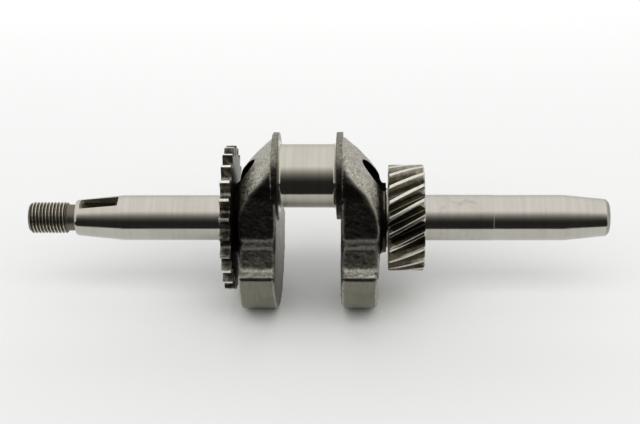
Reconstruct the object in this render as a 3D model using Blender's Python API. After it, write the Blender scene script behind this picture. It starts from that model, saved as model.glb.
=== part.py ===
"""Crankshaft of a small single-cylinder engine, with its pressed-on chain
sprocket and helical timing gear.

Frame: the origin is on the main axis, in the flat face of the threaded
flywheel end.  +X runs along the main axis towards the tapered power take-off
end, and +Z points from the main axis through the crankpin, as the shaft stands
on its two counterweights.
Units in the constants are millimetres; the meshes are built in metres.
Lengths along X are given from the middle of the crankpin, and DATUM moves them
to the origin.
"""

import math

import bmesh
import bpy
from mathutils import Matrix, Vector

MM = 0.001

# ---------------------------------------------------------------- dimensions
DATUM = 123.9  # from the flywheel end face to the middle of the crankpin
# main shaft, flywheel end (negative X)
FLY_END = -DATUM  # flat end face
THREAD_D = 14.0  # M14 x 1.5
THREAD_END = -106.8
NECK_D = 11.6  # thread run-out groove
NECK_END = -103.0
TAPER_RATIO = 0.2  # 1:5 on diameter
FLY_TAPER_SMALL = -102.4
FLY_TAPER_BIG = -81.8
JOURNAL_D = 20.0

# Woodruff keyway in the flywheel taper
KEY_W = 6.0
KEY_CUTTER_D = 19.0
KEY_X = -92.8
KEY_FLOOR_R = 3.2  # from the main axis to the floor of the slot
KEY_ANGLE = 15.0  # degrees from +Z towards -Y

# chain sprocket and its seat
SPROCKET_X0 = -36.3
SPROCKET_X1 = -31.85
SEAT_D = 22.0
SPROCKET_TEETH = 24
SPROCKET_PITCH = 7.774
SPROCKET_OD = 64.0
SPROCKET_ROOT_R = 27.3
SPROCKET_PHASE = 67.3  # degrees of one tooth from +Z towards -Y

# helical timing gear and its seat
GEAR_X0 = 35.15
GEAR_X1 = 50.9
GEAR_TEETH = 20
GEAR_OD = 46.8
GEAR_ROOT_R = 19.2
GEAR_TIP_HELIX = 30.0  # left-hand, degrees at the tips
GEAR_PHASE = 68.4  # degrees of one tooth at GEAR_X0 from +Z towards -Y

# power take-off end (positive X)
SEAL_D = 20.2
SEAL_END = 80.95
PTO_BIG = 111.9
PTO_SMALL = 130.2
PTO_END = 131.5
PTO_END_D = 14.0
TAP_D = 6.8  # core of an M8 draw-bolt thread
TAP_DEPTH = 24.0
TAP_CHAMFER_D = 9.6

# crankpin
PIN_X = 0.4  # middle of the thrust faces
THROW = 20.0  # stroke is 40
PIN_D = 27.8
PIN_HALF = 12.45  # half the width between the thrust faces
PIN_FILLET = 1.8
PIN_BORE_D = 13.6

# webs
BOSS_R = 19.1  # turned thrust boss, about the crankpin axis
BOSS_W = 2.8
CW_R = 40.0  # turned counterweight rim, about the main axis
WEB_END_R = 18.45
# half of the web's outline below the crankpin: (half width, height)
WEB_SIDE = ((24.0, 0.0), (28.5, -1.4), (32.5, -10.0), (38.35, -11.38))
CROWN = 10.0  # half width of the flat middle of the sloping back
GABLE = 0.92  # fall beyond the crown for each unit of half width
# sloping back: (distance from the web's root, crown height, slope)
BACK = ((3.8, 34.3, 0.938), (11.9, 26.7, 1.21), (16.6, 21.0, 1.73), (18.8, 17.2, 4.9))
# faces of each slab: thickest at the hub, thinner towards the rim and the sides
RIGHT_WEB = {"root": 12.4, "inner": 14.8, "outer": 32.3, "draft": 0.035, "side": 0.015}
LEFT_WEB = {"root": 11.2, "inner": 12.9, "outer": 30.4, "draft": 0.0, "side": 0.055}
COLLAR_R = 15.4
COLLAR_GROOVE_R = 13.2

FIT = 0.1  # modelled gap of the interference fits
SEG = 48  # facets of the turned parts


# ------------------------------------------------------------------- helpers
def clear_scene():
    for ob in list(bpy.data.objects):
        bpy.data.objects.remove(ob, do_unlink=True)


def material(name, colour, roughness, metallic=1.0):
    mat = bpy.data.materials.new(name)
    mat.use_nodes = True
    shader = mat.node_tree.nodes["Principled BSDF"]
    shader.inputs["Base Color"].default_value = (*colour, 1.0)
    shader.inputs["Roughness"].default_value = roughness
    shader.inputs["Metallic"].default_value = metallic
    mat.diffuse_color = (*colour, 1.0)
    return mat


def finish_mesh(bm, name, mat=None, cutter=False):
    bmesh.ops.recalc_face_normals(bm, faces=bm.faces)
    mesh = bpy.data.meshes.new(name)
    bm.to_mesh(mesh)
    bm.free()
    ob = bpy.data.objects.new(name, mesh)
    bpy.context.scene.collection.objects.link(ob)
    if mat:
        mesh.materials.append(mat)
    if cutter:
        ob.hide_render = True
        ob.display_type = "WIRE"
    return ob


def around(angle, radius, height=0.0):
    """Point in the Y-Z plane at an angle from +Z towards -Y, about (0, height)."""
    return -radius * math.sin(angle), height + radius * math.cos(angle)


def turned(name, profile, height=0.0, seg=SEG, **options):
    """A solid of revolution about an axis along X: profile is (x, radius)."""
    bm = bmesh.new()
    rings = []
    for x, r in profile:
        ring = []
        for k in range(seg):
            y, z = around(2 * math.pi * (k + 0.5) / seg, r, height)
            ring.append(bm.verts.new(((x + DATUM) * MM, y * MM, z * MM)))
        rings.append(ring)
    for a, b in zip(rings, rings[1:]):
        for k in range(seg):
            n = (k + 1) % seg
            bm.faces.new((a[k], a[n], b[n], b[k]))
    bm.faces.new(rings[0])
    bm.faces.new(rings[-1])
    return finish_mesh(bm, name, **options)


def wheel(name, outline, x0, x1, bore_r, turn=0.0, steps=1, **options):
    """A toothed wheel: (angle, radius) points carried along X and twisted by turn."""
    bm = bmesh.new()
    rings = []
    for i in range(steps + 1):
        t = i / steps
        rings.append([(x0 + (x1 - x0) * t, a + turn * t, r) for a, r in outline])
    # down one end face, back through the bore and up the other end face
    root = min(r for _, r in outline)
    ends = [root - 0.8, (bore_r + root) / 2]
    for r in ends:
        rings.append([(x1, a + turn, r) for a, _ in outline])
    for i in range(steps, -1, -1):
        t = i / steps
        rings.append([(x0 + (x1 - x0) * t, a + turn * t, bore_r) for a, _ in outline])
    for r in reversed(ends):
        rings.append([(x0, a, r) for a, _ in outline])
    rows = []
    for ring in rings:
        row = []
        for x, a, r in ring:
            y, z = around(a, r)
            row.append(bm.verts.new(((x + DATUM) * MM, y * MM, z * MM)))
        rows.append(row)
    n = len(outline)
    for i, a in enumerate(rows):
        b = rows[(i + 1) % len(rows)]
        for k in range(n):
            bm.faces.new((a[k], a[(k + 1) % n], b[(k + 1) % n], b[k]))
    return finish_mesh(bm, name, **options)


def boolean(target, tool, operation):
    mod = target.modifiers.new(tool.name, "BOOLEAN")
    mod.operation = operation
    mod.solver = "EXACT"
    mod.object = tool


def shade(ob, angle=32.0):
    ob.data.shade_smooth()
    ob.data.set_sharp_from_angle(angle=math.radians(angle))


# ---------------------------------------------------------------- crankshaft
def web_outline():
    """The web seen along the shaft: crankpin end, waist and counterweight."""
    points = []
    steps = 14
    for i in range(-steps, steps + 1):
        a = math.radians(97.0) * i / steps
        points.append(around(a, WEB_END_R, THROW))
    side = [(-w, z) for w, z in WEB_SIDE]
    points += side
    start = math.atan2(WEB_SIDE[-1][0], WEB_SIDE[-1][1])
    steps = 22
    for i in range(1, steps):
        a = start + (2 * math.pi - 2 * start) * i / steps
        points.append(around(a, CW_R))
    points += [(-y, z) for y, z in reversed(side)]
    return points


def web(name, side, spec, **options):
    """One crank web as an extruded outline cut back by its sloping faces."""
    bm = bmesh.new()
    outline = web_outline()
    far = spec["outer"] + 2.0
    rings = [
        [bm.verts.new(((DATUM + side * x) * MM, y * MM, z * MM)) for y, z in outline]
        for x in (spec["inner"], far)
    ]
    n = len(outline)
    for k in range(n):
        bm.faces.new((rings[0][k], rings[0][(k + 1) % n], rings[1][(k + 1) % n], rings[1][k]))
    bm.faces.new(rings[0])
    bm.faces.new(rings[1])

    def cut(point, normal):
        """Takes away what lies on the side that the normal points to."""
        co = Vector(((DATUM + side * point[0]) * MM, point[1] * MM, point[2] * MM))
        no = Vector((side * normal[0], normal[1], normal[2]))
        done = bmesh.ops.bisect_plane(
            bm,
            geom=bm.verts[:] + bm.edges[:] + bm.faces[:],
            dist=1e-7,
            plane_co=co,
            plane_no=no,
            clear_outer=True,
        )
        edges = [e for e in done["geom_cut"] if isinstance(e, bmesh.types.BMEdge)]
        bmesh.ops.contextual_create(bm, geom=edges)

    for back, height, slope in BACK:
        x = spec["root"] + back
        cut((x, 0.0, height), (slope, 0.0, 1.0))
        for w in (-1.0, 1.0):
            cut((x, w * CROWN, height), (slope, w * GABLE, 1.0))
    cut((spec["outer"], 0.0, 0.0), (1.0, 0.0, 0.0))
    for w in (-1.0, 1.0):
        cut((spec["outer"], 0.0, 8.0), (1.0, w * spec["side"], -spec["draft"]))
    return finish_mesh(bm, name, **options)


def crankshaft(mat):
    """The one-piece forging: both shaft ends, both webs and the crankpin."""
    journal = JOURNAL_D / 2
    small = journal - TAPER_RATIO / 2 * (FLY_TAPER_BIG - FLY_TAPER_SMALL)
    left = [
        (FLY_END, THREAD_D / 2 - 1.1),
        (FLY_END + 1.1, THREAD_D / 2),
        (THREAD_END, THREAD_D / 2),
        (THREAD_END + 0.5, NECK_D / 2),
        (NECK_END, NECK_D / 2),
        (NECK_END, small - 0.5),
        (FLY_TAPER_SMALL, small),
        (FLY_TAPER_BIG, journal),
        (SPROCKET_X0 - 0.3, journal),
        (SPROCKET_X0, SEAT_D / 2),
        (SPROCKET_X1 + 0.3, SEAT_D / 2),
        (SPROCKET_X1 + 0.3, COLLAR_R),
        (-22.0, COLLAR_R),
    ]
    body = turned("crankshaft", left, mat=mat)
    pto_r = journal - TAPER_RATIO / 2 * (PTO_SMALL - PTO_BIG)
    right = [
        (22.0, COLLAR_R),
        (GEAR_X0 - 0.9, COLLAR_R),
        (GEAR_X0 - 0.9, COLLAR_GROOVE_R),
        (GEAR_X0 - 0.3, COLLAR_GROOVE_R),
        (GEAR_X0 - 0.3, SEAT_D / 2),
        (GEAR_X1, SEAT_D / 2),
        (GEAR_X1 + 0.3, SEAL_D / 2),
        (SEAL_END, SEAL_D / 2),
        (SEAL_END + 0.1, journal),
        (PTO_BIG, journal),
        (PTO_SMALL, pto_r),
        (PTO_END, PTO_END_D / 2),
    ]
    parts = [
        turned("shaft_right", right, cutter=True),
        web("web_left", -1, LEFT_WEB, cutter=True),
        web("web_right", 1, RIGHT_WEB, cutter=True),
    ]
    pin = [(-PIN_HALF - BOSS_W, BOSS_R), (-PIN_HALF, BOSS_R)]
    for i in range(3):
        a = math.pi / 2 * i / 2
        pin.append(
            (
                -PIN_HALF + PIN_FILLET * (1 - math.cos(a)),
                PIN_D / 2 + PIN_FILLET * (1 - math.sin(a)),
            )
        )
    pin += [(-x, r) for x, r in reversed(pin)]
    pin = [(x + PIN_X, r) for x, r in pin]
    parts.append(turned("crankpin", pin, height=THROW, cutter=True))
    for tool in parts:
        boolean(body, tool, "UNION")

    bore = [(-60.0, PIN_BORE_D / 2), (60.0, PIN_BORE_D / 2)]
    boolean(body, turned("pin_bore", bore, height=THROW, seg=24, cutter=True), "DIFFERENCE")

    tap = [
        (PTO_END - TAP_DEPTH - 2.0, 0.05),
        (PTO_END - TAP_DEPTH, TAP_D / 2),
        (PTO_END - (TAP_CHAMFER_D - TAP_D) / 2, TAP_D / 2),
        (PTO_END, TAP_CHAMFER_D / 2),
        (PTO_END + 1.0, TAP_CHAMFER_D / 2 + 1.0),
    ]
    boolean(body, turned("tapped_hole", tap, seg=24, cutter=True), "DIFFERENCE")

    # Woodruff slot: a disc whose axis lies across the taper
    bm = bmesh.new()
    bmesh.ops.create_cone(
        bm,
        cap_ends=True,
        segments=48,
        radius1=KEY_CUTTER_D / 2 * MM,
        radius2=KEY_CUTTER_D / 2 * MM,
        depth=KEY_W * MM,
    )
    # disc axis along Y, then rolled about X to the keyway's place
    bm.transform(Matrix.Rotation(math.pi / 2, 4, "X"))
    bm.transform(Matrix.Translation(((KEY_X + DATUM) * MM, 0.0, (KEY_FLOOR_R + KEY_CUTTER_D / 2) * MM)))
    bm.transform(Matrix.Rotation(math.radians(KEY_ANGLE), 4, "X"))
    boolean(body, finish_mesh(bm, "keyway", cutter=True), "DIFFERENCE")
    shade(body)
    return body


# --------------------------------------------------------------------- gears
def sprocket(mat):
    """Roller-chain sprocket: round seats on the pitch circle, short pointed teeth."""
    pitch_r = SPROCKET_PITCH / 2 / math.sin(math.pi / SPROCKET_TEETH)
    tip = SPROCKET_OD / 2
    seat = pitch_r - SPROCKET_ROOT_R
    step = 2 * math.pi / SPROCKET_TEETH
    outline = []
    for t in range(SPROCKET_TEETH):
        mid = math.radians(SPROCKET_PHASE) + step * (t + 0.5)
        # from one tooth's tip, down into the roller seat, and up to the next
        outline.append((mid - step / 2 + 0.022, tip))
        for deg in (112.0, 150.0, 180.0, 210.0, 248.0):
            a = math.radians(deg)
            outline.append((mid - seat * math.sin(a) / pitch_r, pitch_r + seat * math.cos(a)))
        outline.append((mid + step / 2 - 0.022, tip))
    body = wheel("timing_sprocket", outline, SPROCKET_X0, SPROCKET_X1, SEAT_D / 2 + FIT, mat=mat)
    shade(body)
    return body


def helical_gear(mat):
    """Left-hand helical gear with tip lands, leaning flanks and flat roots."""
    tip = GEAR_OD / 2
    step = 2 * math.pi / GEAR_TEETH
    outline = []
    for t in range(GEAR_TEETH):
        mid = math.radians(GEAR_PHASE) + step * t
        for frac, r in (
            (-0.46, GEAR_ROOT_R),
            (-0.36, GEAR_ROOT_R + 0.35),
            (-0.245, (GEAR_ROOT_R + tip) / 2),
            (-0.105, tip),
            (0.105, tip),
            (0.245, (GEAR_ROOT_R + tip) / 2),
            (0.36, GEAR_ROOT_R + 0.35),
        ):
            outline.append((mid + frac * step, r))
    # the far end is turned towards +Z on the -Y side, which is a left-hand helix
    turn = -math.tan(math.radians(GEAR_TIP_HELIX)) * (GEAR_X1 - GEAR_X0) / tip
    body = wheel("helical_gear", outline, GEAR_X0, GEAR_X1, SEAT_D / 2 + FIT, turn=turn, steps=6, mat=mat)
    shade(body)
    return body


def main():
    clear_scene()
    crankshaft(material("forged_steel", (0.35, 0.34, 0.32), 0.35))
    sprocket(material("sprocket_steel", (0.28, 0.27, 0.26), 0.4))
    helical_gear(material("gear_steel", (0.30, 0.29, 0.28), 0.35))


main()
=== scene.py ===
import math

import bmesh
import bpy
import numpy as np
from mathutils import Matrix, Vector


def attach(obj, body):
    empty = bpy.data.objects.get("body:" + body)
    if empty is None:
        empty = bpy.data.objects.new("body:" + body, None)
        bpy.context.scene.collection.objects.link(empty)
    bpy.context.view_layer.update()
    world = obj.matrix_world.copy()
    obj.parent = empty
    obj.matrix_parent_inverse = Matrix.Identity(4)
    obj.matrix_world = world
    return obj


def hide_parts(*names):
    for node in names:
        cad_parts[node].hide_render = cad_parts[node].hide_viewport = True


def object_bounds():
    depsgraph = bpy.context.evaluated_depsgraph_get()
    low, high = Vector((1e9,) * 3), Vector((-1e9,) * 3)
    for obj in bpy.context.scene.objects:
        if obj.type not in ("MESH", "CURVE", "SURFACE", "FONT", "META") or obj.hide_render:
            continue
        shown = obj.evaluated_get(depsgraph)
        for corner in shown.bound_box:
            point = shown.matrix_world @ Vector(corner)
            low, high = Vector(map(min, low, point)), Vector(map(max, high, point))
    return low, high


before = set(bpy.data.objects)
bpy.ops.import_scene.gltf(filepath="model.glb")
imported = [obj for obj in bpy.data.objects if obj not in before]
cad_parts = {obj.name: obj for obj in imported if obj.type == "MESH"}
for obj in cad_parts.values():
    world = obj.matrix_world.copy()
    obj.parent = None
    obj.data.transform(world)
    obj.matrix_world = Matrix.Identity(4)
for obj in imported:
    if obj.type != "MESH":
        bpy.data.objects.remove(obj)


def plain(box):
    return [[float(v) for v in corner] for corner in box]


CAD_BOX = plain(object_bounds())
MM = 0.001

# ------------------------------------------------------------------ positions
# Lengths in millimetres.  X is counted from the middle of the crankpin, and
# DATUM brings it to the row frame, whose origin is the flywheel end face.
DATUM = 123.9
THROW = 20.0
BOSS_R = 19.1
BOSS_W = 2.8
PIN_R = 13.9
PIN_X = 0.4
PIN_HALF = 12.45
PIN_FILLET = 1.8
BORE_R = 6.8
CW_R = 40.0
COLLAR_R = 15.4
SEAT_R = 11.0
SPROCKET = (-36.3, -31.85)
GEAR = (35.15, 50.9)
rng = np.random.default_rng(71)


# ------------------------------------------------------------------ mesh tools
def add_mesh(name, verts, faces, mat, sharp=32.0, replaces="crankshaft", slot="forged_steel"):
    """A piece in row-frame millimetres, smooth apart from its real edges."""
    mesh = bpy.data.meshes.new(name)
    v = np.asarray(verts, float) * MM
    mesh.from_pydata(v.tolist(), [], [list(map(int, f)) for f in faces])
    mesh.update()
    bm = bmesh.new()
    bm.from_mesh(mesh)
    bmesh.ops.recalc_face_normals(bm, faces=bm.faces)
    bm.to_mesh(mesh)
    bm.free()
    mesh.materials.append(mat)
    ob = bpy.data.objects.new(name, mesh)
    bpy.context.scene.collection.objects.link(ob)
    mesh.shade_smooth()
    if sharp:
        mesh.set_sharp_from_angle(angle=math.radians(sharp))
    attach(ob, "root")
    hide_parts(replaces)
    return ob


def ring_points(x, r, seg, height=0.0, turn=0.0):
    a = 2 * np.pi * (np.arange(seg) + 0.5) / seg + turn
    r = np.broadcast_to(r, seg)
    return np.stack([np.full(seg, x + DATUM), r * np.cos(a), height + r * np.sin(a)], 1)


def revolve(name, rows, mat, seg=192, height=0.0, closed=False, **options):
    """A turned body: rows of (x, radius), where a radius may vary round the ring."""
    verts = np.concatenate([ring_points(x, r, seg, height) for x, r in rows])
    faces = []
    count = len(rows)
    ring = np.arange(seg)
    nxt = (ring + 1) % seg
    for i in range(count if closed else count - 1):
        a, b = i * seg, ((i + 1) % count) * seg
        faces += list(zip(a + ring, a + nxt, b + nxt, b + ring))
    if not closed:
        for i, x in ((0, rows[0][0]), (count - 1, rows[-1][0])):
            centre = len(verts)
            verts = np.concatenate([verts, [[x + DATUM, 0.0, height]]])
            faces += list(zip(i * seg + ring, i * seg + nxt, np.full(seg, centre)))
    return add_mesh(name, verts, faces, mat, **options)


def boolean_cut(ob, tool):
    mod = ob.modifiers.new("cut", "BOOLEAN")
    mod.operation = "DIFFERENCE"
    mod.solver = "EXACT"
    mod.object = tool
    bpy.context.view_layer.update()
    deps = bpy.context.evaluated_depsgraph_get()
    mesh = bpy.data.meshes.new_from_object(ob.evaluated_get(deps), depsgraph=deps)
    ob.modifiers.remove(mod)
    old = ob.data
    ob.data = mesh
    bpy.data.meshes.remove(old)
    bpy.data.objects.remove(tool)
    mesh.shade_smooth()
    mesh.set_sharp_from_angle(angle=math.radians(32.0))


# ------------------------------------------------------------------- materials
class Nodes:
    """A material's node tree with short calls."""

    def __init__(self, name):
        self.mat = bpy.data.materials.new(name)
        self.mat.use_nodes = True
        self.tree = self.mat.node_tree
        self.bsdf = self.tree.nodes["Principled BSDF"]
        self.coord = self.add("ShaderNodeTexCoord").outputs["Object"]

    def add(self, kind, **values):
        node = self.tree.nodes.new(kind)
        for key, value in values.items():
            setattr(node, key, value)
        return node

    def link(self, a, b):
        self.tree.links.new(a, b)

    def put(self, socket, value):
        if isinstance(value, bpy.types.NodeSocket):
            self.link(value, socket)
        elif isinstance(value, (tuple, list)) and len(value) == 3 and len(socket.default_value) == 4:
            socket.default_value = (*value, 1.0)
        else:
            socket.default_value = value

    def math(self, op, a, b=0.0, clamp=False):
        node = self.add("ShaderNodeMath", operation=op, use_clamp=clamp)
        self.put(node.inputs[0], a)
        self.put(node.inputs[1], b)
        return node.outputs[0]

    def scaled(self, sx, sy, sz, source=None):
        node = self.add("ShaderNodeMapping")
        self.put(node.inputs["Vector"], source or self.coord)
        node.inputs["Scale"].default_value = (sx, sy, sz)
        return node.outputs[0]

    def noise(self, vector, scale, detail=3.0, rough=0.55, distort=0.0):
        node = self.add("ShaderNodeTexNoise")
        self.put(node.inputs["Vector"], vector)
        node.inputs["Scale"].default_value = scale
        node.inputs["Detail"].default_value = detail
        node.inputs["Roughness"].default_value = rough
        node.inputs["Distortion"].default_value = distort
        return node.outputs["Fac"]

    def voronoi(self, vector, scale, output="Distance"):
        node = self.add("ShaderNodeTexVoronoi")
        self.put(node.inputs["Vector"], vector)
        node.inputs["Scale"].default_value = scale
        return node.outputs[output]

    def ramp(self, value, low, high, a=0.0, b=1.0):
        node = self.add("ShaderNodeMapRange", interpolation_type="SMOOTHSTEP")
        self.put(node.inputs["Value"], value)
        for key, v in (("From Min", low), ("From Max", high), ("To Min", a), ("To Max", b)):
            node.inputs[key].default_value = v
        return node.outputs["Result"]

    def mix(self, fac, a, b):
        node = self.add("ShaderNodeMix", data_type="RGBA")
        self.put(node.inputs[0], fac)
        self.put(node.inputs[6], a)
        self.put(node.inputs[7], b)
        return node.outputs[2]

    def blend(self, fac, a, b):
        node = self.add("ShaderNodeMix", data_type="FLOAT")
        self.put(node.inputs[0], fac)
        self.put(node.inputs[2], a)
        self.put(node.inputs[3], b)
        return node.outputs[0]

    def xyz(self, source=None):
        node = self.add("ShaderNodeSeparateXYZ")
        self.put(node.inputs[0], source or self.coord)
        return node.outputs

    def radius(self, height=0.0):
        """Distance from the axis along X at this height, in metres."""
        parts = self.xyz()
        z = self.math("SUBTRACT", parts[2], height)
        return self.math("SQRT", self.math("ADD", self.math("MULTIPLY", parts[1], parts[1]), self.math("MULTIPLY", z, z)))

    def bump(self, height, strength, distance, normal=None):
        node = self.add("ShaderNodeBump")
        node.inputs["Strength"].default_value = strength
        node.inputs["Distance"].default_value = distance
        self.put(node.inputs["Height"], height)
        if normal:
            self.put(node.inputs["Normal"], normal)
        return node.outputs[0]

    def surface(self, colour, rough, normal=None, metallic=1.0):
        self.put(self.bsdf.inputs["Base Color"], colour)
        self.put(self.bsdf.inputs["Roughness"], rough)
        self.put(self.bsdf.inputs["Metallic"], metallic)
        if normal:
            self.put(self.bsdf.inputs["Normal"], normal)
        return self.mat


def ground_steel(name, tone, rough, height=0.0, stain=0.0, dark_ends=()):
    """Ground steel: fine grinding rings round the axis, light handling stains."""
    n = Nodes(name)
    # grinding marks run round the axis, so they change quickly along X only
    rings = n.noise(n.scaled(1.0, 0.012, 0.012), 6200.0, 4.0, 0.7)
    broad = n.noise(n.scaled(1.0, 0.03, 0.03), 420.0, 3.0, 0.6)
    cloud = n.noise(n.coord, 46.0, 4.0, 0.6, 0.4)
    colour = n.mix(n.ramp(broad, 0.3, 0.7), tuple(c * 0.96 for c in tone), tuple(min(1.0, c * 1.03) for c in tone))
    colour = n.mix(n.ramp(cloud, 0.42, 0.78, 0.0, 0.35), colour, tuple(c * f for c, f in zip(tone, (0.84, 0.82, 0.77))))
    if stain:
        x = n.xyz()[0]
        zone = n.math(
            "MULTIPLY",
            n.ramp(x, (DATUM + 56) * MM, (DATUM + 60) * MM),
            n.ramp(x, (DATUM + 73) * MM, (DATUM + 79) * MM, 1.0, 0.0),
        )
        spots = n.ramp(n.noise(n.coord, 150.0, 3.0, 0.6, 0.8), 0.52, 0.68)
        colour = n.mix(n.math("MULTIPLY", n.math("MULTIPLY", zone, spots), stain), colour, (0.34, 0.345, 0.365))
        brown = n.ramp(n.noise(n.coord, 95.0, 3.0, 0.6, 0.5), 0.60, 0.74)
        colour = n.mix(n.math("MULTIPLY", n.math("MULTIPLY", zone, brown), stain * 0.8), colour, (0.44, 0.35, 0.25))
    r = n.blend(n.ramp(rings, 0.3, 0.7), rough * 0.86, rough * 1.18)
    r = n.math("ADD", r, n.ramp(cloud, 0.45, 0.8, 0.0, 0.06))
    for low, high, extra in dark_ends:
        x = n.xyz()[0]
        zone = n.math("MULTIPLY", n.ramp(x, (DATUM + low) * MM, (DATUM + low + 0.3) * MM), n.ramp(x, (DATUM + high) * MM, (DATUM + high + 0.3) * MM, 1.0, 0.0))
        r = n.math("ADD", r, n.math("MULTIPLY", zone, extra))
        colour = n.mix(n.math("MULTIPLY", zone, 0.55), colour, tuple(c * 0.5 for c in tone))
    normal = n.bump(rings, 0.022, 0.00003)
    n.bsdf.inputs["Anisotropic"].default_value = 0.35
    return n.surface(colour, r, normal)


def forged_steel():
    """Dark scale of the forging, with its turned faces picked out by an attribute; painted shade from two more
    attributes darkens the flanks, creases and inner faces and paints the bore wall nearly black.
    """
    n = Nodes("forged_webs")
    turned = n.add("ShaderNodeAttribute", attribute_name="turned").outputs["Fac"]
    bore_wall_shade = n.add("ShaderNodeAttribute", attribute_name="bore_wall_shade").outputs["Fac"]
    painted_shade = n.add("ShaderNodeAttribute", attribute_name="painted_shade").outputs["Fac"]
    grit = n.noise(n.coord, 1250.0, 3.0, 0.7)
    lumps = n.noise(n.coord, 720.0, 4.0, 0.66)
    broad = n.noise(n.coord, 85.0, 4.0, 0.6, 0.3)
    colour = n.mix(n.ramp(lumps, 0.32, 0.68), (0.40, 0.385, 0.345), (0.60, 0.58, 0.53))
    colour = n.mix(n.ramp(broad, 0.50, 0.74, 0.0, 0.3), colour, (0.42, 0.385, 0.335))
    sparkle = n.ramp(grit, 0.56, 0.66)
    colour = n.mix(n.math("MULTIPLY", sparkle, n.math("SUBTRACT", 0.85, n.math("MULTIPLY", painted_shade, 0.6))), colour, (0.86, 0.84, 0.78))
    pits = n.ramp(n.noise(n.coord, 950.0, 3.0, 0.68), 0.54, 0.66)
    colour = n.mix(n.math("MULTIPLY", pits, 0.62), colour, (0.12, 0.11, 0.095))
    # painted shade: the colour goes nearly black where the shade attribute is set, and glints and lumps are muted there
    colour = n.mix(painted_shade, colour, (0.035, 0.033, 0.029))
    rings = n.noise(n.scaled(1.0, 0.03, 0.03), 3600.0, 3.0, 0.6)
    cut = n.mix(n.ramp(rings, 0.3, 0.7), (0.275, 0.27, 0.225), (0.335, 0.325, 0.272))
    cut = n.mix(n.ramp(broad, 0.45, 0.75, 0.0, 0.5), cut, (0.225, 0.215, 0.18))
    colour = n.mix(n.math("MULTIPLY", turned, n.math("SUBTRACT", 1.0, painted_shade)), colour, cut)
    # painted shade: the bore's wall is painted nearly black
    colour = n.mix(bore_wall_shade, colour, (0.02, 0.02, 0.018))
    rough = n.blend(turned, n.blend(n.ramp(lumps, 0.3, 0.7), 0.30, 0.46), n.blend(rings, 0.24, 0.36))
    rough = n.blend(bore_wall_shade, rough, 0.7)
    height = n.math("ADD", n.math("MULTIPLY", lumps, 1.0), n.math("MULTIPLY", grit, 0.5))
    height = n.math("MULTIPLY", height, n.math("SUBTRACT", 1.0, n.math("MULTIPLY", turned, 0.96)))
    height = n.math("MULTIPLY", height, n.math("SUBTRACT", 1.0, n.math("MULTIPLY", painted_shade, 0.45)))
    normal = n.bump(height, 0.85, 0.00030)
    normal = n.bump(n.math("MULTIPLY", rings, turned), 0.08, 0.00005, normal)
    return n.surface(colour, rough, normal)


def thread_steel():
    n = Nodes("thread_steel")
    r = n.radius()
    worn = n.ramp(r, 0.00655, 0.0070)
    cloud = n.noise(n.coord, 260.0, 3.0, 0.6)
    colour = n.mix(worn, (0.25, 0.235, 0.20), (0.80, 0.775, 0.70))
    colour = n.mix(n.ramp(cloud, 0.45, 0.75, 0.0, 0.5), colour, (0.25, 0.23, 0.20))
    return n.surface(colour, n.blend(worn, 0.42, 0.30), n.bump(cloud, 0.2, 0.0001))


def tooth_steel(name, tip, bottom, dark, light, rough, contrast, depth=0.4):
    """Hardened teeth: painted shade in the valleys, bright worn tips and edges."""
    n = Nodes(name)
    r = n.radius()
    worn = n.ramp(r, (tip - 0.35) * MM, (tip - 0.05) * MM)
    valley_shade = n.ramp(r, bottom * MM, (bottom + 2.4) * MM, 1.0, 0.0)
    edge = n.add("ShaderNodeAttribute", attribute_name="edge").outputs["Fac"]
    cloud = n.noise(n.coord, 330.0, 4.0, 0.65, 0.4)
    fine = n.noise(n.coord, 1100.0, 3.0, 0.6)
    colour = n.mix(n.ramp(cloud, 0.36, 0.64), dark, tuple(min(1.0, c * contrast) for c in dark))
    # the plain side faces inside the teeth are turned, so their scale is much more even
    face = n.ramp(r, (bottom - 2.0) * MM, bottom * MM, 0.85, 0.0)
    even = tuple(min(1.0, c * (1.0 + (contrast - 1.0) * 0.5)) for c in dark)
    colour = n.mix(face, colour, even)
    bright = n.math("MULTIPLY", n.math("MAXIMUM", worn, edge), n.ramp(fine, 0.25, 0.6, 0.6, 1.0))
    colour = n.mix(bright, colour, light)
    # painted shade: the colour darkens towards the tooth roots
    colour = n.mix(n.math("MULTIPLY", valley_shade, depth), colour, tuple(c * 0.4 for c in dark))
    normal = n.bump(fine, 0.3, 0.00014)
    return n.surface(colour, n.blend(bright, rough, rough * 0.8), normal)


# ----------------------------------------------------------------- the forging
def rmax(a, b, r):
    """Intersection of two distances with an edge rounded by r."""
    u = np.maximum(r + a, 0.0)
    v = np.maximum(r + b, 0.0)
    return np.minimum(-r, np.maximum(a, b)) + np.sqrt(u * u + v * v)


def rmin(a, b, r):
    return -rmax(-a, -b, r)


def smax(a, b, k):
    """Intersection of two distances whose planes are nearly parallel."""
    return np.maximum(a, b) + np.maximum(k - np.abs(a - b), 0.0) ** 2 / (4 * k)


WEB_END_R = 18.45
WEB_SIDE = ((24.0, 0.0), (28.5, -1.4), (32.5, -10.0), (38.35, -11.38))
CROWN = 10.0
GABLE = 0.92
BACK = ((3.8, 34.3, 0.938), (11.9, 26.7, 1.21), (16.6, 21.0, 1.73), (18.8, 17.2, 4.9))
WEBS = {
    "right": {"side": 1, "face": PIN_HALF + PIN_X, "root": 12.4, "inner": 14.8, "outer": 32.3, "draft": 0.035, "lean": 0.015, "hub": 34.25, "rim": 2.7, "proud": 0.45},
    "left": {"side": -1, "face": PIN_HALF - PIN_X, "root": 11.2, "inner": 12.9, "outer": 30.4, "draft": 0.0, "lean": 0.055, "hub": 31.55, "rim": 2.0, "proud": 0.6},
}
GRID = 0.4
Y0, Z0 = -42.0, -43.2
NY, NZ = 211, 211


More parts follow.
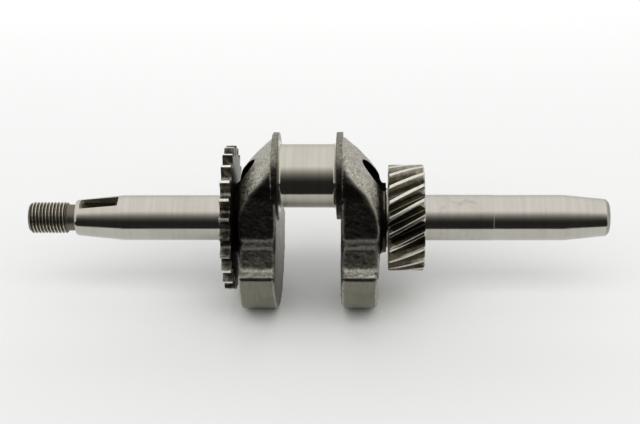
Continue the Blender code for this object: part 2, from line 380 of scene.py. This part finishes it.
def outline_field():
    """Signed distance to the web's outline in the Y-Z plane, softened at its corners."""
    pts = []
    for i in range(-20, 21):
        a = math.radians(97.0) * i / 20
        pts.append((WEB_END_R * math.sin(a), THROW + WEB_END_R * math.cos(a)))
    pts += list(WEB_SIDE)
    start = math.atan2(WEB_SIDE[-1][0], WEB_SIDE[-1][1])
    for i in range(60):
        a = start + (2 * math.pi - 2 * start) * i / 59
        pts.append(((CW_R + 0.3) * math.sin(a), (CW_R + 0.3) * math.cos(a)))
    pts += [(-y, z) for y, z in reversed(WEB_SIDE)]
    p = np.array(pts)
    y = Y0 + GRID * np.arange(NY)
    z = Z0 + GRID * np.arange(NZ)
    yy, zz = np.meshgrid(y, z, indexing="ij")
    best = np.full(yy.shape, 1e9)
    inside = np.zeros(yy.shape, bool)
    for (ay, az), (by, bz) in zip(p, np.roll(p, -1, 0)):
        ey, ez = by - ay, bz - az
        length = ey * ey + ez * ez
        if length < 1e-12:
            continue
        t = np.clip(((yy - ay) * ey + (zz - az) * ez) / length, 0.0, 1.0)
        best = np.minimum(best, (yy - ay - t * ey) ** 2 + (zz - az - t * ez) ** 2)
        crosses = (az > zz) != (bz > zz)
        at = ay + (zz - az) * ey / (ez if abs(ez) > 1e-12 else 1e-12)
        inside ^= crosses & (yy < at)
    d = np.where(inside, -1.0, 1.0) * np.sqrt(best)
    for sigma in (2.2,):
        k = np.exp(-0.5 * (np.arange(-8, 9) / sigma) ** 2)
        k /= k.sum()
        pad = np.pad(d, 8, mode="edge")
        pad = sum(w * pad[i : i + d.shape[0], :] for i, w in enumerate(k))
        d = sum(w * pad[:, i : i + d.shape[1]] for i, w in enumerate(k))
    return d


OUTLINE = outline_field()


def outline(y, z):
    fy = np.clip((y - Y0) / GRID, 0, NY - 1.001)
    fz = np.clip((z - Z0) / GRID, 0, NZ - 1.001)
    i, j = fy.astype(int), fz.astype(int)
    u, v = fy - i, fz - j
    f = OUTLINE
    return (f[i, j] * (1 - u) + f[i + 1, j] * u) * (1 - v) + (f[i, j + 1] * (1 - u) + f[i + 1, j + 1] * u) * v


def web_distance(x, y, z, w):
    """Signed distance of one web: x counts outwards from the crankpin's middle."""
    flat = outline(y, z)
    ay = np.sqrt(y * y + 4.0)
    n = math.sqrt(1 + w["lean"] ** 2 + w["draft"] ** 2)
    outer = np.maximum((x - w["outer"] + w["lean"] * (ay - 2.0) - w["draft"] * (z - 8.0)) / n, x - w["outer"])
    slab = rmax(w["inner"] - x, outer, 2.6)
    body = rmax(flat, slab, w["rim"])
    back = None
    for away, height, slope in BACK:
        xb = w["root"] + away + w["proud"]
        crown = (slope * (x - xb) + (z - height)) / math.sqrt(1 + slope**2)
        gable = (slope * (x - xb) + GABLE * (np.abs(y) - CROWN) + (z - height)) / math.sqrt(1 + slope**2 + GABLE**2)
        roof = smax(crown, gable, 1.0)
        back = roof if back is None else smax(back, roof, 0.8)
    body = rmax(body, back, 1.3)
    radius = np.sqrt(y * y + z * z)
    body = rmax(body, radius - CW_R, 0.10)
    pin = np.sqrt(y * y + (z - THROW) ** 2)
    boss = rmax(pin - BOSS_R, np.abs(x - w["face"] - BOSS_W / 2) - BOSS_W / 2, 0.3)
    body = rmin(body, boss, 0.5)
    hub = rmax(radius - COLLAR_R, np.maximum(x - w["hub"], 18.0 - x), 0.35)
    body = rmin(body, hub, 2.0)
    return rmax(body, BORE_R - pin, 0.35)


def surface_net(f, origin, step):
    """Naive surface nets: one vertex in each cell that the surface crosses."""
    inside = f < 0
    nx, ny, nz = f.shape
    total = np.zeros((nx - 1, ny - 1, nz - 1, 3))
    count = np.zeros((nx - 1, ny - 1, nz - 1))
    for axis in range(3):
        lo = [slice(None)] * 3
        hi = [slice(None)] * 3
        lo[axis], hi[axis] = slice(0, -1), slice(1, None)
        a, b = f[tuple(lo)], f[tuple(hi)]
        cross = inside[tuple(lo)] != inside[tuple(hi)]
        t = np.where(cross, a / np.where(cross, a - b, 1.0), 0.0)
        others = [k for k in range(3) if k != axis]
        for s0 in (0, 1):
            for s1 in (0, 1):
                cut = [slice(None)] * 3
                cut[others[0]] = slice(s0, f.shape[others[0]] - 1 + s0)
                cut[others[1]] = slice(s1, f.shape[others[1]] - 1 + s1)
                c, tt = cross[tuple(cut)], t[tuple(cut)]
                total[..., axis] += np.where(c, tt, 0.0)
                total[..., others[0]] += np.where(c, s0, 0.0)
                total[..., others[1]] += np.where(c, s1, 0.0)
                count += c
    live = count > 0
    index = np.full(live.shape, -1)
    index[live] = np.arange(live.sum())
    cells = np.argwhere(live)
    verts = origin + step * (cells + total[live] / count[live][:, None])
    faces = []
    for axis in range(3):
        lo = [slice(None)] * 3
        hi = [slice(None)] * 3
        lo[axis], hi[axis] = slice(0, -1), slice(1, None)
        cross = inside[tuple(lo)] != inside[tuple(hi)]
        u, v = [(1, 2), (2, 0), (0, 1)][axis]
        at = np.argwhere(cross)
        at = at[(at[:, u] > 0) & (at[:, v] > 0) & (at[:, u] < f.shape[u] - 1) & (at[:, v] < f.shape[v] - 1)]
        quad = []
        for du, dv in ((0, 0), (-1, 0), (-1, -1), (0, -1)):
            c = at.copy()
            c[:, u] += du
            c[:, v] += dv
            quad.append(index[c[:, 0], c[:, 1], c[:, 2]])
        quad = np.stack(quad, 1)
        flip = ~inside[at[:, 0], at[:, 1], at[:, 2]]
        quad[flip] = quad[flip][:, ::-1]
        faces.append(quad)
    return verts, np.concatenate(faces)


def waves(p, size, count):
    """Smooth seeded noise with features of about this size, from -1 to 1."""
    d = rng.normal(size=(count, 3))
    d /= np.linalg.norm(d, axis=1)[:, None]
    k = 2 * np.pi / size * rng.uniform(0.6, 1.6, count)
    phase = rng.uniform(0, 2 * np.pi, count)
    return np.sin((p @ d.T) * k + phase).sum(1) / math.sqrt(count) * 0.7


def forge(name, w, mat):
    step = 0.42
    lo = np.array([11.3, -39.6, -41.2])
    hi = np.array([w["hub"] + 0.8, 39.6, 39.9])
    shape = np.ceil((hi - lo) / step).astype(int) + 1
    axes = [lo[i] + step * np.arange(shape[i]) for i in range(3)]
    field = np.empty(shape)
    yy, zz = np.meshgrid(axes[1], axes[2], indexing="ij")
    for i, x in enumerate(axes[0]):
        field[i] = web_distance(np.full(yy.shape, x), yy, zz, w)
    verts, faces = surface_net(field, lo, step)

    def grad(p):
        h = 0.02
        g = []
        for k in range(3):
            q = p.copy()
            q[:, k] += h
            r = p.copy()
            r[:, k] -= h
            g.append((web_distance(*q.T, w) - web_distance(*r.T, w)) / (2 * h))
        return np.stack(g, 1)

    for _ in range(3):
        g = grad(verts)
        d = web_distance(*verts.T, w)
        move = d[:, None] * g / np.maximum((g * g).sum(1), 0.2)[:, None]
        size = np.linalg.norm(move, axis=1)
        move *= np.minimum(1.0, 0.25 / np.maximum(size, 1e-9))[:, None]
        verts = verts - move
    g = grad(verts)
    g /= np.maximum(np.linalg.norm(g, axis=1), 1e-6)[:, None]

    x, y, z = verts.T
    radius = np.hypot(y, z)
    pin = np.hypot(y, z - THROW)
    soft = lambda v, a, b: np.clip((v - a) / (b - a), 0.0, 1.0)
    rim = soft(radius, CW_R - 0.12, CW_R - 0.03)
    thrust = 1 - soft(x, w["face"] + 0.06, w["face"] + 0.15)
    face = soft(x, w["hub"] - 0.15, w["hub"] - 0.05)
    turned = np.maximum.reduce([rim, thrust, face])
    # painted shade mask: the bore's wall, painted nearly black in the material and kept free of lumps
    bore_wall_shade = (1 - soft(pin, BORE_R + 0.05, BORE_R + 0.6)) * 1.0
    # painted shade: the flanks, the shoulder and the faces below it, the seam crease, the boss disc rim, the neck at
    # the hub and the inner faces between the webs are darkened in the colour
    side = soft(np.abs(g[:, 1]), 0.60, 0.86)
    flank = side * soft(z, -4.0, -2.6)
    below = soft(np.abs(g[:, 1]) + np.abs(g[:, 2]), 0.7, 0.95) * (1 - soft(z, -1.6, 0.6)) * soft(z, -10.6, -8.4)
    shoulder = soft(np.abs(y), 21.0, 24.0) * soft(z, -4.4, -3.0) * (1 - soft(z, 1.0, 3.5))
    seam = soft(radius, 38.2, 38.9) * soft(z, -12.3, -11.9) * (1 - soft(z, -11.0, -10.5))
    disc = (1 - soft(np.abs(pin - BOSS_R), 0.25, 0.45)) * (1 - soft(x, w["face"] + BOSS_W, w["face"] + BOSS_W + 0.3))
    neck = (1 - soft(np.abs(radius - COLLAR_R), 0.3, 0.6)) * soft(x, w["outer"] + 0.2, w["outer"] + 0.6)
    inner = soft(-g[:, 0], 0.8, 0.95) * (1 - soft(z, -36.0, 8.0)) * soft(x, w["face"] + 0.3, w["face"] + 0.8)
    painted_shade = np.maximum.reduce([0.86 * flank, 0.66 * below, 0.72 * shoulder, 0.97 * seam, 0.42 * disc, 0.6 * neck, 0.6 * inner])
    lumps = 0.10 * waves(verts, 5.5, 26) + 0.05 * waves(verts, 2.2, 30) + 0.022 * waves(verts, 1.1, 30)
    lumps = np.minimum(lumps, 0.20) - 0.06
    verts = verts + g * (lumps * (1 - turned) * (1 - bore_wall_shade))[:, None]
    # the forging's roughness stays under the CAD model's highest point
    verts = np.stack([w["side"] * verts[:, 0] + DATUM, verts[:, 1], np.minimum(verts[:, 2], CAD_BOX[1][2] / MM)], 1)
    if w["side"] < 0:
        faces = faces[:, ::-1]
    ob = add_mesh(name, verts, faces, mat, sharp=None)
    for key, values in (("turned", turned), ("bore_wall_shade", bore_wall_shade), ("painted_shade", painted_shade)):
        attribute = ob.data.attributes.new(key, "FLOAT", "POINT")
        attribute.data.foreach_set("value", values.astype(np.float32))
    return ob


# ------------------------------------------------------------------ the pieces
FORGED = forged_steel()
GROUND = ground_steel("ground_journals", (0.585, 0.565, 0.525), 0.125, dark_ends=())
GROUND_PTO = ground_steel("ground_pto_side", (0.585, 0.565, 0.525), 0.14, stain=0.34, dark_ends=((129.6, 132.0, 0.14),))
PIN = ground_steel("ground_crankpin", (0.585, 0.56, 0.51), 0.12, height=THROW)
THREAD = thread_steel()
SPROCKET_STEEL = tooth_steel("sprocket_teeth", 32.0, 26.0, (0.13, 0.125, 0.11), (0.88, 0.86, 0.80), 0.36, 3.2)
GEAR_STEEL = tooth_steel("gear_teeth", 23.4, 18.6, (0.27, 0.257, 0.222), (0.74, 0.715, 0.65), 0.24, 1.6, 0.72)

forge("web_right", WEBS["right"], FORGED)
forge("web_left", WEBS["left"], FORGED)


def crankpin():
    rows = [(-PIN_HALF - 2.6, BORE_R - 0.02), (-PIN_HALF - 2.6, PIN_R + PIN_FILLET)]
    side = []
    for i in range(11):
        a = math.pi / 2 * i / 10
        side.append((-PIN_HALF + PIN_FILLET * (1 - math.cos(a)), PIN_R + PIN_FILLET * (1 - math.sin(a))))
    rows += side
    rows += [(x, PIN_R) for x in np.linspace(-9.5, 9.5, 9)]
    rows += [(-x, r) for x, r in reversed(side)]
    rows += [(PIN_HALF + 2.6, PIN_R + PIN_FILLET), (PIN_HALF + 2.6, BORE_R - 0.02)]
    rows = [(x + PIN_X, r) for x, r in rows]
    return revolve("crankpin", rows, PIN, seg=224, height=THROW, closed=True)


crankpin()


def thread_radius(x, seg, start, pitch, crest, root, hand=1.0):
    """Radii round the ring of a 60 degree right-hand thread at this x."""
    a = 2 * np.pi * (np.arange(seg) + 0.5) / seg
    t = (x - start) / pitch - hand * a / (2 * np.pi)
    t = np.abs(t - np.round(t)) * 2  # 0 on the crest, 1 in the root
    flank = np.clip((t - 0.14) / (0.80 - 0.14), 0.0, 1.0)
    flank = flank + 0.02 * np.sin(np.pi * flank)
    return crest - (crest - root) * np.clip(flank, 0.0, 1.0)


def flywheel_end():
    seg = 160
    rows = [(-DATUM, 2.0), (-DATUM, 5.6), (-DATUM, 5.95)]
    x = -DATUM + 0.06
    while x < -106.85:
        r = thread_radius(x, seg, -DATUM, 1.5, 7.0, 6.08)
        r = np.minimum(r, 5.95 + (x + DATUM) * 0.92)
        r = np.minimum(r, 5.9 + max(0.0, -106.8 - x) * 1.5)
        rows.append((x, r))
        x += 0.0625
    rows += [(-106.6, 5.83), (-106.2, 5.8), (-103.35, 5.8), (-103.05, 5.9), (-103.0, 6.2), (-103.0, 7.42)]
    rows += [(-102.9, 7.68), (-102.4, 7.94)]
    rows += [(v, 10.0 - 0.1 * (-81.8 - v)) for v in np.linspace(-101.5, -81.9, 26)]
    rows += [(-81.8, 9.995), (-81.2, 10.0)]
    rows += [(v, 10.0) for v in np.linspace(-79.0, -37.2, 24)]
    rows += [(-36.75, 10.0), (-36.6, 10.05), (-36.55, 10.85), (-36.4, SEAT_R), (-31.5, SEAT_R), (-31.0, 9.0), (-26.0, 9.0)]
    ob = revolve("flywheel_end", rows, GROUND, seg=seg)
    ob.data.materials.append(THREAD)
    mesh = ob.data
    limit = (DATUM - 103.4) * MM
    mesh.polygons.foreach_set("material_index", [1 if p.center.x < limit else 0 for p in mesh.polygons])
    # Woodruff slot
    bm = bmesh.new()
    bmesh.ops.create_cone(bm, cap_ends=True, segments=96, radius1=9.5 * MM, radius2=9.5 * MM, depth=6.0 * MM)
    bm.transform(Matrix.Rotation(math.pi / 2, 4, "X"))
    bm.transform(Matrix.Translation(((-92.8 + DATUM) * MM, 0.0, (3.2 + 9.5) * MM)))
    bm.transform(Matrix.Rotation(math.radians(15.0), 4, "X"))
    tool_mesh = bpy.data.meshes.new("slot")
    bm.to_mesh(tool_mesh)
    bm.free()
    tool_mesh.materials.append(THREAD)
    tool = bpy.data.objects.new("slot", tool_mesh)
    bpy.context.scene.collection.objects.link(tool)
    boolean_cut(ob, tool)
    return ob


flywheel_end()


def pto_end():
    seg = 192
    rows = [(26.0, 9.0), (34.0, 9.0), (34.2, 13.15), (34.3, 13.2), (34.75, 13.2), (34.85, 13.1), (34.85, SEAT_R)]
    rows += [(35.1, SEAT_R), (50.95, SEAT_R), (51.15, 10.8), (51.2, 10.1)]
    rows += [(v, 10.1) for v in np.linspace(52.0, 80.6, 18)]
    rows += [(80.9, 10.1), (81.03, 10.0)]
    rows += [(v, 10.0) for v in np.linspace(81.9, 111.3, 18)]
    rows += [(111.9, 9.995)]
    rows += [(v, 10.0 - 0.1 * (v - 111.9)) for v in np.linspace(112.6, 129.6, 22)]
    rows += [(130.05, 8.16), (130.4, 7.95), (131.35, 7.08), (131.5, 6.9), (131.5, 4.9), (131.4, 4.75), (130.1, 3.9)]
    x = 130.0
    while x > 110.5:
        rows.append((x, 7.35 - thread_radius(x, seg, 131.5, 1.25, 4.0, 3.4, -1.0)))
        x -= 0.09
    rows += [(110.0, 3.35), (107.6, 3.3), (105.7, 0.05)]
    return revolve("pto_end", rows, GROUND_PTO, seg=seg)


pto_end()


def toothed(name, outline_pts, slices, bore_r, mat, node, slot, edge_of):
    """A toothed wheel from slices of (x, turn, function from radius to radius)."""
    th = np.array([p[0] for p in outline_pts])
    rr = np.array([p[1] for p in outline_pts])
    n = len(th)
    rings = []
    edges = []
    for x, turn, radii in slices:
        r = radii(rr)
        a = th + turn
        rings.append(np.stack([np.full(n, x + DATUM), -r * np.sin(a), r * np.cos(a)], 1))
        edges.append(edge_of(x, rr, r))
    for x, turn, f in ((slices[-1][0], slices[-1][1], 1), (slices[0][0], slices[0][1], 1)):
        a = th + turn
        rings.append(np.stack([np.full(n, x + DATUM), -bore_r * np.sin(a), bore_r * np.cos(a)], 1))
        edges.append(np.zeros(n))
    verts = np.concatenate(rings)
    faces = []
    k = np.arange(n)
    m = (k + 1) % n
    count = len(rings)
    for i in range(count):
        a, b = i * n, ((i + 1) % count) * n
        faces += list(zip(a + k, a + m, b + m, b + k))
    ob = add_mesh(name, verts, faces, mat, sharp=34.0, replaces=node, slot=slot)
    attribute = ob.data.attributes.new("edge", "FLOAT", "POINT")
    attribute.data.foreach_set("value", np.concatenate(edges).astype(np.float32))
    return ob


def sprocket():
    teeth = 24
    pitch_r = 7.774 / 2 / math.sin(math.pi / teeth)
    seat = pitch_r - 27.3
    step = 2 * math.pi / teeth
    tip = 32.0
    pts = []
    for t in range(teeth):
        mid = math.radians(67.3) + step * (t + 0.5)
        half = []
        for deg in np.linspace(106.0, 180.0, 10):
            a = math.radians(deg)
            half.append((seat * math.sin(a) / pitch_r, pitch_r + seat * math.cos(a)))
        # flank from the tip land down to the seat, slightly hollow
        land = 0.019
        top = step / 2 - land
        u0, r0 = half[0]
        flank = [(top, tip - 0.02)]
        for s in (0.2, 0.4, 0.6, 0.8):
            flank.append((top + (u0 - top) * s, tip + (r0 - tip) * (s ** 0.92)))
        left = [(top + land * 0.95, tip)] + [(top + land * 0.45, tip)] + flank + half
        for u, r in left:
            pts.append((mid - u, r))
        for u, r in reversed(left[:-1]):
            pts.append((mid + u, r))
    mid_x = (SPROCKET[0] + SPROCKET[1]) / 2
    full = (SPROCKET[1] - SPROCKET[0]) / 2
    keys = []  # (offset from the middle, radius that this width reaches)
    for h, reach in ((full, 27.2), (full, 31.5), (full - 0.10, 31.8), (full - 0.28, 32.0)):
        keys.append((h, reach))
    slices = []
    for h, reach in keys:
        slices.append((mid_x - h, 0.0, lambda r, c=reach: np.minimum(r, c)))
    for h, reach in reversed(keys):
        slices.append((mid_x + h, 0.0, lambda r, c=reach: np.minimum(r, c)))

    def edge_of(x, rr, r):
        return np.zeros(len(rr))

    ob = toothed("timing_sprocket_teeth", pts, slices, 11.1, SPROCKET_STEEL, "timing_sprocket", "sprocket_steel", edge_of)
    return ob


sprocket()


def helical_gear():
    teeth = 20
    tip, root = 23.4, 19.2
    step = 2 * math.pi / teeth
    shape = (
        (-0.50, root), (-0.44, root + 0.02), (-0.395, root + 0.18), (-0.355, root + 0.62), (-0.325, root + 1.1),
        (-0.285, root + 1.8), (-0.24, root + 2.5), (-0.195, root + 3.15), (-0.150, root + 3.75), (-0.125, tip - 0.14),
        (-0.108, tip - 0.03), (-0.092, tip), (-0.03, tip), (0.03, tip), (0.092, tip), (0.108, tip - 0.03),
        (0.125, tip - 0.14), (0.150, root + 3.75), (0.195, root + 3.15), (0.24, root + 2.5), (0.285, root + 1.8),
        (0.325, root + 1.1), (0.355, root + 0.62), (0.395, root + 0.18), (0.44, root + 0.02),
    )
    pts = []
    for t in range(teeth):
        mid = math.radians(68.4) + step * t
        pts += [(mid + f * step, r) for f, r in shape]
    per_mm = math.tan(math.radians(30.0)) / tip
    x0, x1 = GEAR
    slices = []
    ends = [0.0, 0.12, 0.3, 0.5, 0.75]
    xs = [x0 + e for e in ends] + list(np.linspace(x0 + 1.2, x1 - 1.2, 24)) + [x1 - e for e in reversed(ends)]
    for x in xs:
        d = min(x - x0, x1 - x)
        reach = tip - max(0.0, 0.5 - d) * 1.3
        slices.append((x, -per_mm * (x - x0), lambda r, c=reach: np.minimum(r, c)))

    def edge_of(x, rr, r):
        d = min(x - x0, x1 - x)
        near = 1.0 if d < 0.55 and x > (x0 + x1) / 2 or d < 0.2 else 0.0
        corner = np.clip(1.0 - np.abs(rr - (tip - 0.1)) / 0.12, 0.0, 1.0) * (rr < tip - 0.005)
        return np.maximum(near * np.clip((rr - root) / 2.5, 0.1, 0.85), corner * 0.9)

    return toothed("helical_gear_teeth", pts, slices, 11.1, GEAR_STEEL, "helical_gear", "gear_steel", edge_of)


helical_gear()


# ------------------------------------------------------------- floor and light
def staged(name, verts, faces, mat):
    mesh = bpy.data.meshes.new(name)
    mesh.from_pydata([tuple(v) for v in verts], [], faces)
    mesh.materials.append(mat)
    ob = bpy.data.objects.new(name, mesh)
    bpy.context.scene.collection.objects.link(ob)
    return ob


FLOOR_Z = CAD_BOX[0][2]
CX = DATUM * MM
n = Nodes("pale_floor")
n.bsdf.inputs["Specular IOR Level"].default_value = 0.0
floor_mat = n.surface((0.86, 0.865, 0.86), 0.75, None, 0.0)
size = 4.0
staged(
    "floor",
    [(CX - size, -size, FLOOR_Z), (CX + size, -size, FLOOR_Z), (CX + size, size, FLOOR_Z), (CX - size, size, FLOOR_Z)],
    [(0, 1, 2, 3)],
    floor_mat,
)

# a dark card on the camera's side, fading out upwards: it only shows as the dark
# band in the steel
n = Nodes("dark_card")
fade = n.ramp(n.xyz()[2], -0.03, 1.0, 0.0, 1.0)
glow = n.add("ShaderNodeEmission")
glow.inputs["Color"].default_value = (1.0, 0.99, 0.96, 1.0)
n.link(n.math("ADD", n.math("MULTIPLY", fade, 0.72), 0.045), glow.inputs["Strength"])
n.link(glow.outputs[0], n.tree.nodes["Material Output"].inputs["Surface"])
n.mat.cycles.emission_sampling = "NONE"
flag = staged(
    "dark_card",
    [
        (CX - 0.24, -0.064, FLOOR_Z + 0.001), (CX + 0.24, -0.064, FLOOR_Z + 0.001),
        (CX + 0.55, -0.62, FLOOR_Z + 0.01), (CX - 0.55, -0.62, FLOOR_Z + 0.01),
        (CX + 0.55, -0.62, 1.0), (CX - 0.55, -0.62, 1.0),
    ],
    [(0, 1, 2, 3), (3, 2, 4, 5)],
    n.mat,
)
flag.visible_camera = False
flag.visible_diffuse = False
flag.visible_shadow = False


def area(name, place, target, sx, sy, power, colour=(1, 1, 1)):
    data = bpy.data.lights.new(name, "AREA")
    data.shape = "RECTANGLE"
    data.size, data.size_y = sx, sy
    data.energy = power
    data.color = colour
    ob = bpy.data.objects.new(name, data)
    place, target = Vector(place), Vector(target)
    ob.matrix_world = Matrix.Translation(place) @ (target - place).to_track_quat("-Z", "Y").to_matrix().to_4x4()
    bpy.context.scene.collection.objects.link(ob)
    return ob


centre = Vector((CX, 0.0, 0.0))
# soft light on the floor: a large softbox in front and above, and a low one behind
for light in (
    area("softbox_front", centre + Vector((0.0, -3.2, 3.4)), centre, 8.0, 4.0, 108.0, (1.0, 0.995, 0.985)),
    area("softbox_back", centre + Vector((0.0, 0.85, 0.4)), centre + Vector((0.0, 0.45, -0.04)), 2.4, 0.5, 2.1),
):
    light.visible_glossy = False


def light_tent():
    """White dome that the steel reflects: brightest overhead, dimmer at the horizon."""
    n = Nodes("tent_cloth")
    up = n.math("DIVIDE", n.xyz()[2], 1.6)
    strength = n.ramp(up, 0.0, 0.85, 0.56, 0.77)
    glow = n.add("ShaderNodeEmission")
    glow.inputs["Color"].default_value = (1.0, 1.0, 0.99, 1.0)
    n.link(strength, glow.inputs["Strength"])
    output = n.tree.nodes["Material Output"]
    n.link(glow.outputs[0], output.inputs["Surface"])
    n.mat.cycles.emission_sampling = "NONE"
    verts, faces = [], []
    around, rows = 48, 16
    for j in range(rows + 1):
        el = math.radians(-6.0 + 96.0 * j / rows)
        for i in range(around):
            a = 2 * math.pi * i / around
            verts.append((CX + 1.6 * math.cos(el) * math.cos(a), 1.6 * math.cos(el) * math.sin(a), 1.6 * math.sin(el)))
    for j in range(rows):
        for i in range(around):
            k = (i + 1) % around
            faces.append((j * around + i, j * around + k, (j + 1) * around + k, (j + 1) * around + i))
    tent = staged("light_tent", verts, faces, n.mat)
    tent.visible_camera = False
    tent.visible_diffuse = False
    tent.visible_shadow = False


light_tent()

bpy.context.scene.view_settings.view_transform = "Standard"
bpy.context.scene.view_settings.look = "High Contrast"
world = bpy.data.worlds.new("studio")
bpy.context.scene.world = world
world.use_nodes = True
background = world.node_tree.nodes["Background"]
background.inputs["Color"].default_value = (1.0, 1.0, 1.0, 1.0)
background.inputs["Strength"].default_value = 0.45

# ---------------------------------------------------------------------- camera
ELEVATION = math.radians(24.5)
DISTANCE = 0.576
FOCAL_PX = 1302.0
towards = Vector((0.0, -math.cos(ELEVATION), math.sin(ELEVATION)))
upward = Vector((0.0, math.sin(ELEVATION), math.cos(ELEVATION)))
place = centre + Vector((0.0281, 0.0, 0.0)) + towards * DISTANCE
per_px = DISTANCE / FOCAL_PX
aim = centre + Vector(((320.0 - 308.4) * per_px, 0.0, 0.0)) + upward * ((217.5 - 212.0) * per_px)
forward = (aim - place).normalized()
right = forward.cross(upward).normalized()
top = right.cross(forward)
turn = Matrix((right, top, -forward)).transposed().to_4x4()
turn.translation = place
camera_data = bpy.data.cameras.new("camera")
camera_data.sensor_width = 36.0
camera_data.lens = FOCAL_PX * 36.0 / 640.0
camera = bpy.data.objects.new("camera", camera_data)
camera.matrix_world = turn
bpy.context.scene.collection.objects.link(camera)
bpy.context.scene.camera = camera

bpy.context.view_layer.update()
